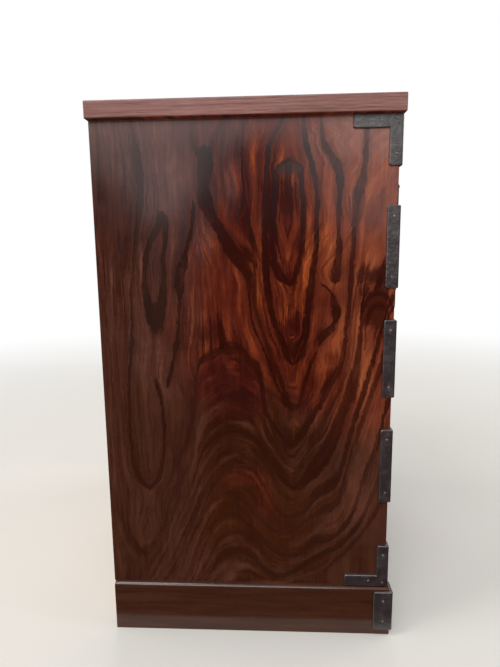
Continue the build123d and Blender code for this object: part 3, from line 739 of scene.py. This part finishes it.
sidePalettes = {
    "back": [(0.2, 46, 19, 12), (0.42, 61, 31, 22), (0.6, 71, 40, 32), (0.85, 102, 63, 51)],
    "middle": [
        (0.18, 42, 6, 2), (0.36, 59, 15, 7), (0.52, 80, 27, 12), (0.68, 104, 42, 18), (0.92, 152, 72, 32),
    ],
    "front": [(0.2, 62, 22, 11), (0.4, 95, 41, 24), (0.6, 118, 57, 35), (0.85, 144, 78, 48)],
    "foot": [(0.2, 45, 17, 8), (0.42, 55, 25, 14), (0.6, 66, 35, 23), (0.85, 84, 47, 34)],
    "footMiddle": [(0.2, 42, 13, 2), (0.42, 52, 20, 4), (0.6, 60, 26, 8), (0.85, 80, 35, 12)],
    "pink": [(0.2, 66, 34, 27), (0.4, 98, 58, 48), (0.6, 120, 75, 64), (0.85, 146, 98, 84)],
    "red": [(0.2, 42, 8, 5), (0.45, 62, 15, 9), (0.6, 80, 22, 13), (0.85, 108, 36, 21)],
    "grey": [(0.2, 42, 28, 28), (0.5, 68, 46, 45), (0.8, 96, 70, 67)],
}


def sideBoardMaterial(board):
    material, tree, shader = newMaterial("rosewoodSides", board)
    x, y, z = objectPlace(tree)
    across = minus(board["backEdge"], y)

    def field(fine, long, seed, detail=2, roughness=0.5):
        return grainNoise(across, fine, z, long, seed, detail, roughness)

    def moved(value, *pushes):
        for push, amount in pushes:
            value = timesPlus(minus(push, 0.5), amount, value)
        return value

    # a little wander so that no drawn line is ruled, and ragged edges
    wide = field(0.03, 0.012, 0)
    t = moved(across, (wide, 7), (field(0.5, 0.03, 4, 2, 0.6), 5), (field(0.11, 0.08, 10, 3, 0.65), 6.5))
    rough = field(0.08, 0.12, 12, 3, 0.65)
    up = moved(z, (field(0.02, 0.02, 2), 7), (field(0.05, 0.4, 6, 2, 0.6), 4), (rough, 5.5))
    fray = field(0.05, 0.035, 8, 3, 0.6)
    figure = useGroup(tree, makeSideFigure(board), {"Across": t, "Up": up, "Fray": fray})
    fine = useGroup(tree, fineGrain, {"Across": across, "Along": z, "Depth": x})

    def flow(levelScale, alongScale, detail, roughness):
        # the drift keeps the two sides of a fold from mirroring each other
        drift = timesPlus(across, 0.016, figure["Lower"])
        return grainNoise(figure["Level"], levelScale, figure["Along"], alongScale, drift, detail, roughness)

    streak = flow(0.34, 0.009, 4, 0.6)
    bands = flow(0.11, 0.004, 2, 0.5)
    threads = flow(1, 0.012, 2, 0.5)

    def patches(group, earlier):
        # each one's mask, after the name of its palette where it has one
        here = {"Across": after(t, earlier), "Up": after(up, earlier), "Fray": streak}
        for *name, middle, height, halfAcross, halfUp, strength in group.values():
            where = {"Centre Across": middle, "Centre Up": height}
            size = {"Half Across": halfAcross, "Half Up": halfUp}
            yield *name, times(useGroup(tree, softPatch, {**here, **where, **size})["Mask"], strength)

    def thinned(value, group, earlier):
        for (mask,) in patches(group, earlier):
            value = times(value, minus(1, mask))
        return value

    tone = moved(0, (streak, 0.8), (bands, 0.7), (threads, 0.4))
    tone = thinned(tone, calmPatches, streak)
    tone = plus(moved(tone, (fine["Fibre"], 0.35), (fine["Streak"], 0.3), (fray, 0.3)), board["tone"])
    for (shift,) in patches(tonePatches, tone):
        tone = plus(tone, shift)
    vein = thinned(figure["Vein"], faintPatches, tone)
    for (mask,) in patches(darkPatches, vein):
        vein = larger(vein, mask)

    share = over(moved(across, (wide, 50)), board["reach"])
    backness = drawnLine(share, board["backness"])
    frontness = drawnLine(share, board["frontness"])
    frontness = times(frontness, remap(z, *board["frontDarker"], smooth=True))
    sloped = timesPlus(across, 0.25, moved(z, (wide, 60)))
    footness = remap(sloped, *board["foot"], smooth=True)

    def palette(name):
        return ramp(tone, sidePalettes[name])

    wood = mixTint(backness, palette("middle"), palette("back"))
    wood = mixTint(frontness, wood, palette("front"))
    wood = mixTint(footness, wood, palette("foot"))
    for name, mask in patches(tintPatches, vein):
        wood = mixTint(mask, wood, palette(name))
    # the lines' own dark tint, with a painted reflection over them near the top
    veinAndReflectionTint = ramp(over(z, board["tall"]), board["veinAndReflectionTints"])
    greyer = times(backness, minus(1, footness))
    veinAndReflectionTint = mixTint(greyer, veinAndReflectionTint, board["backVein"])
    for (mask,) in patches(greyWash, vein):
        wood = mixTint(mask, wood, palette("grey"))
    wood = mixTint(vein, wood, veinAndReflectionTint)
    for (mask,) in patches(greyPatches, vein):
        wood = mixTint(mask, wood, palette("grey"))
    # painted reflection: a pale veil over the board towards its top, where the gloss would mirror the room
    wood = mixTint(remap(z, *board["paintedReflection"], smooth=True), wood, board["paintedReflectionTint"])
    finishWood(tree, shader, board, fine, wood)
    return material


paintPiece(sideBoardMaterial(sideBoard), "left_side_panel", "right_side_panel")
print("sides drawn:", len(downLines) + len(acrossLines), "lines")


# plinth: the same wood, stained much darker, with little figure

plinthWood = {
    **rosewood,
    "gloss": 0.5,
    "polish": (0.12, 0.2),
    "wood": [(0.25, 42, 18, 8), (0.45, 56, 27, 14), (0.6, 65, 34, 20), (0.8, 86, 48, 29)],
    "vein": tint(36, 18, 10),
    "veinStrength": 0.35,
    "worn": tint(110, 70, 48),
    "pores": 0.3,
}
paintPiece(rosewoodBoard("darkRosewoodSides", 2, 1, 0, 2.6, 0.15, plinthWood), "plinth_left", "plinth_right")
paintPiece(rosewoodBoard("darkRosewoodFront", 2, 0, 1, 4.6, 0.15, plinthWood), "plinth_front")
print("plinth done")


# pale softwood: drawer boxes, shelves and the back

softwood = {
    "gloss": 0.35,
    "polish": (0.5, 0.68),
    "wood": [(0.25, 168, 128, 86), (0.5, 196, 158, 112), (0.75, 216, 184, 140)],
    "ring": tint(150, 108, 68),
    "ringStrength": 0.4,
    "roll": 0.35,  # how far the rings wander
    "pores": 0.2,
    "poreTint": tint(120, 84, 52),
    "poreDepth": 0.5,
    "relief": (0.3, 0.0005),
    "wear": 0.25,
    "worn": tint(150, 116, 80),
    "scuff": 0.08,
}


def softwoodBoard(name, across, along, depth, seed):
    material, tree, shader = newMaterial(name, softwood)
    axes = objectPlace(tree)
    grain = {"Across": axes[across], "Along": axes[along], "Depth": axes[depth]}
    fine = useGroup(tree, fineGrain, grain)
    figure = useGroup(tree, boardFigure, {**grain, "Seed": seed, "Roll": softwood["roll"]})
    tone = timesPlus(fine["Fibre"], 0.4, times(figure["Streak"], 0.6))
    wood = ramp(tone, softwood["wood"])
    wood = mixTint(times(figure["Vein"], softwood["ringStrength"]), wood, softwood["ring"])
    finishWood(tree, shader, softwood, fine, wood)
    return material


paintPiece(softwoodBoard("softwoodBack", 0, 2, 1, 2.2), "back_panel")
shelfLook = softwoodBoard("softwoodShelves", 1, 0, 2, 6.1)
paintPiece(shelfLook, "bottom_board", "lower_shelf", "middle_shelf", "upper_shelf")
paintPiece(shelfLook, *[drawer + "_drawer_bottom" for drawer in drawers])
paintPiece(softwoodBoard("softwoodBoxes", 2, 1, 0, 8.7), *[drawer + "_drawer_box" for drawer in drawers])
paintPiece(softwoodBoard("softwoodPlinth", 2, 0, 1, 4.3), "plinth_back", "plinth_corner_blocks")
print("softwood done")


# black iron

iron = {
    "gloss": 1.1,
    "metal": 0.15,
    "black": [(0.3, 37, 29, 29), (0.5, 48, 38, 39), (0.7, 64, 53, 54)],
    "wear": 0.6,
    "worn": tint(120, 112, 108),
    "rough": (0.22, 0.38),
    "wearScale": {"Cloud": 30, "Scuff": 220},
    "edgeScale": {"Radius": 0.0012, "Breakup": 260},
    "scuff": 0.1,
    "dents": 170,  # how closely they lie, and how strongly they show
    "dentStrength": 1.0,
    "dentDepth": 0.0006,
    "grain": 1500,
}
pullIron = {**iron, "dents": 300, "dentStrength": 0.5}
nailIron = {
    **iron,
    "metal": 0.5,
    "black": [(0.3, 68, 62, 58), (0.5, 88, 82, 78), (0.7, 110, 103, 99)],
    "dents": 900,
    "dentStrength": 0.3,
}


def makeHammered():
    # shallow dents left by the hammer, with a fine cast grain between them
    tree, given, out = newGroup("hammered", [("Dents", 200), ("Grain", 1500)], ["Height", "Tone"])
    where = objectSpace(tree)
    dents = noise(where, given["Dents"], 1, 0.4)
    grain = noise(where, given["Grain"], 3, 0.6)
    feed(timesPlus(grain, 0.2, dents), out["Height"])
    feed(noise(where, 60, 4, 0.6), out["Tone"])
    return tree


hammered = makeHammered()


def ironMaterial(name, look):
    material, tree, shader = newMaterial(name, look)
    beaten = useGroup(tree, hammered, {"Dents": look["dents"], "Grain": look["grain"]})
    wear = useGroup(tree, surfaceWear, look["wearScale"])
    edge = useGroup(tree, edgeWear, look["edgeScale"])["Edge"]
    colour = ramp(beaten["Tone"], look["black"])
    colour = mixTint(times(edge, look["wear"]), colour, look["worn"])
    feed(colour, shader.inputs["Base Color"])
    shader.inputs["Metallic"].default_value = look["metal"]
    rough = remap(wear["Cloud"], 0.3, 0.7, *look["rough"])
    feed(timesPlus(wear["Scuff"], look["scuff"], rough), shader.inputs["Roughness"])
    bump(shader, beaten["Height"], look["dentStrength"], look["dentDepth"])
    return material


ironLook = ironMaterial("blackIron", iron)
pullLook = ironMaterial("blackIronPulls", pullIron)
nailLook = ironMaterial("nailHeads", nailIron)
paintPiece(ironLook, "left_edge_irons", "right_edge_irons", "plinth_irons")
paintPiece(ironLook, *[name for name in nodes if name.endswith("_corner_iron")])
paintPiece(nailLook, "iron_nails")
paintPiece(pullLook, *[name for name in nodes if name.endswith(("_bail", "_pull_posts"))])
print("iron done")


# floor, light and camera

studio = {
    "floorRadius": 14.0,
    "floor": tint(198, 195, 190),
    "mottle": 1.04,  # how much paler the floor is in places
    "whiteFrom": (0.9, 3.4),  # distances between which it turns to plain white, so that no horizon shows
    "world": (1, 0.985, 0.965, 1),
    "fill": 0.4,  # strength of the even light from all round
    "middle": (0, 0, 0.42),  # what every lamp faces
    # name: place, size, watts, whether glossy things reflect it
    "boxes": {
        "sideBox": ((-2.4, 0.5, 2.3), (2.0, 0.9), 34, True),
        "sideFill": ((-2.7, -0.3, 1.25), (2.6, 1.6), 30, False),
        "ceilingBox": ((-0.7, 0.8, 2.4), (0.36, 0.9), 13, True),
        "frontBox": ((0.4, -2.8, 2.1), (3.0, 1.8), 56, True),
        "farBox": ((2.8, 0.3, 2.1), (2.6, 1.8), 46, True),
        "rearBox": ((-0.3, 2.8, 2.1), (2.6, 1.8), 46, True),
    },
}


def seenPlainly(tree):
    # 1 for what the camera sees straight, in a mirror or through glass
    path = place(tree, "LightPath").outputs
    return larger(path["Is Camera Ray"], larger(path["Is Glossy Ray"], path["Is Transmission Ray"]))


def plainWhite(tree, kind):
    return place(tree, kind, {"Color": (1, 1, 1, 1), "Strength": 1}).outputs[0]


def makeFloor():
    mesh = bpy.data.meshes.new("studioFloor")
    shape = bmesh.new()
    bmesh.ops.create_circle(shape, cap_ends=True, segments=96, radius=studio["floorRadius"])
    shape.to_mesh(mesh)
    shape.free()
    floor = bpy.data.objects.new("studioFloor", mesh)
    scene.collection.objects.link(floor)
    material, tree, shader = newMaterial("studioFloor", {"gloss": 0.2})
    shader.inputs["Roughness"].default_value = 0.8
    where = objectSpace(tree)
    mottle = noise(where, 3)
    paler = tuple(min(1, v * studio["mottle"]) for v in studio["floor"])
    feed(mixTint(mottle, studio["floor"], paler), shader.inputs["Base Color"])
    away = worked("VectorMath", {0: where}, operation="LENGTH")["Value"]
    far = times(remap(away, *studio["whiteFrom"], smooth=True), seenPlainly(tree))
    mixed = worked("MixShader", {0: far, 1: shader.outputs[0], 2: plainWhite(tree, "Emission")})[0]
    feed(mixed, tree.nodes["Material Output"].inputs["Surface"])
    mesh.materials.append(material)


def makeWorld():
    world = bpy.data.worlds.new("studio")
    scene.world = world
    world.use_nodes = True
    tree = world.node_tree
    even = tree.nodes["Background"]
    even.inputs["Color"].default_value = studio["world"]
    even.inputs["Strength"].default_value = studio["fill"]
    white = plainWhite(tree, "Background")
    mixed = worked("MixShader", {0: seenPlainly(tree), 1: even.outputs[0], 2: white})[0]
    feed(mixed, tree.nodes["World Output"].inputs["Surface"])


def makeLights():
    middle = Vector(studio["middle"])
    for name, (spot, size, watts, reflected) in studio["boxes"].items():
        light = bpy.data.lights.new(name, "AREA")
        light.shape = "RECTANGLE"
        light.size, light.size_y = size
        light.energy = watts
        box = bpy.data.objects.new(name, light)
        box.location = spot
        box.visible_glossy = reflected
        box.rotation_euler = (middle - Vector(spot)).to_track_quat("-Z", "Y").to_euler()
        scene.collection.objects.link(box)


# dark sheets round the chest that only reflections see, as are hung for glossy furniture
flags = {
    "tint": tint(26, 13, 7),
    "near": 0.02,  # gap between the sheet's near edge and the chest
    "reach": 1.45,  # how far out it turns upwards
    "lift": {"left": 0.004, "right": 0.004, "front": 0.006},
    # a sheet's upper edge, as places along it and their heights
    "left": [
        (-4.4, 0.72), (-0.38, 0.74), (-0.16, 0.96), (-0.06, 1.18), (0.18, 1.14),
        (0.32, 0.86), (0.44, 0.78), (0.54, 0.78), (0.66, 1.0), (4.4, 1.05),
    ],
    "right": [(-4.4, 1.9), (4.4, 1.9)],
    "front": [(-4.4, 1.9), (4.4, 1.9)],
    "fade": {"right": (0.8, 1.9), "front": (0.8, 1.9)},  # heights between which a sheet thins out to nothing
}


def makeFlag(name, edge, turn):
    # edge is how far out the chest reaches; turn carries (out, along, up) to x, y, z
    mesh = bpy.data.meshes.new(name)
    corners, faces = [], []
    near, far, lift = edge + flags["near"], edge + flags["reach"], flags["lift"][name]
    for along, top in flags[name]:
        corners += [turn(near, along, lift), turn(far, along, lift), turn(far, along, top)]
    for start in range(0, len(corners) - 3, 3):
        faces += [(start, start + 3, start + 4, start + 1), (start + 1, start + 4, start + 5, start + 2)]
    mesh.from_pydata(corners, [], faces)
    sheet = bpy.data.objects.new(name + "Flag", mesh)
    scene.collection.objects.link(sheet)
    material, tree, shader = newMaterial(name + "Flag", flags)
    shader.inputs["Base Color"].default_value = flags["tint"]
    shader.inputs["Roughness"].default_value = 1.0
    if name in flags["fade"]:
        where = place(tree, "NewGeometry").outputs["Position"]
        height = worked("SeparateXYZ", {0: where})[2]
        feed(remap(height, *flags["fade"][name], 1.0, 0.0, smooth=True), shader.inputs["Alpha"])
    mesh.materials.append(material)
    for ray in ("camera", "diffuse", "shadow", "transmission"):
        setattr(sheet, "visible_" + ray, False)


def makeFlags():
    halfWidth, halfDepth = cadBox[1][0], cadBox[1][1]
    makeFlag("left", halfWidth, lambda out, along, up: (-out, along, up))
    makeFlag("right", halfWidth, lambda out, along, up: (out, along, up))
    makeFlag("front", halfDepth, lambda out, along, up: (along, -out, up))


viewer = {
    "spot": (-1.0291, -0.0295, 0.6160),
    "lens": 26.015,  # millimetres, for a sensor this wide
    "sensor": 36.0,
    "nearest": 0.01,  # metres
    "yaw": -0.0476,  # from looking straight along X
    "pitch": 0.1539,
    "roll": -0.0111,
}


def makeCamera():
    def turn(first, second, angle):
        c, s = math.cos(angle), math.sin(angle)
        return first * c + second * s, second * c - first * s
    ahead, right, up = Vector((1, 0, 0)), Vector((0, -1, 0)), Vector((0, 0, 1))
    ahead, right = turn(ahead, right, viewer["yaw"])
    up, ahead = turn(up, ahead, viewer["pitch"])
    right, up = turn(right, up, viewer["roll"])
    data = bpy.data.cameras.new("camera")
    data.lens, data.sensor_width, data.clip_start = viewer["lens"], viewer["sensor"], viewer["nearest"]
    camera = bpy.data.objects.new("camera", data)
    matrix = Matrix((right, up, -ahead)).transposed().to_4x4()
    matrix.translation = Vector(viewer["spot"])
    camera.matrix_world = matrix
    scene.collection.objects.link(camera)
    scene.camera = camera


makeFloor()
makeWorld()
makeLights()
makeFlags()
makeCamera()
scene.view_settings.view_transform = "Standard"
print("studio ready")
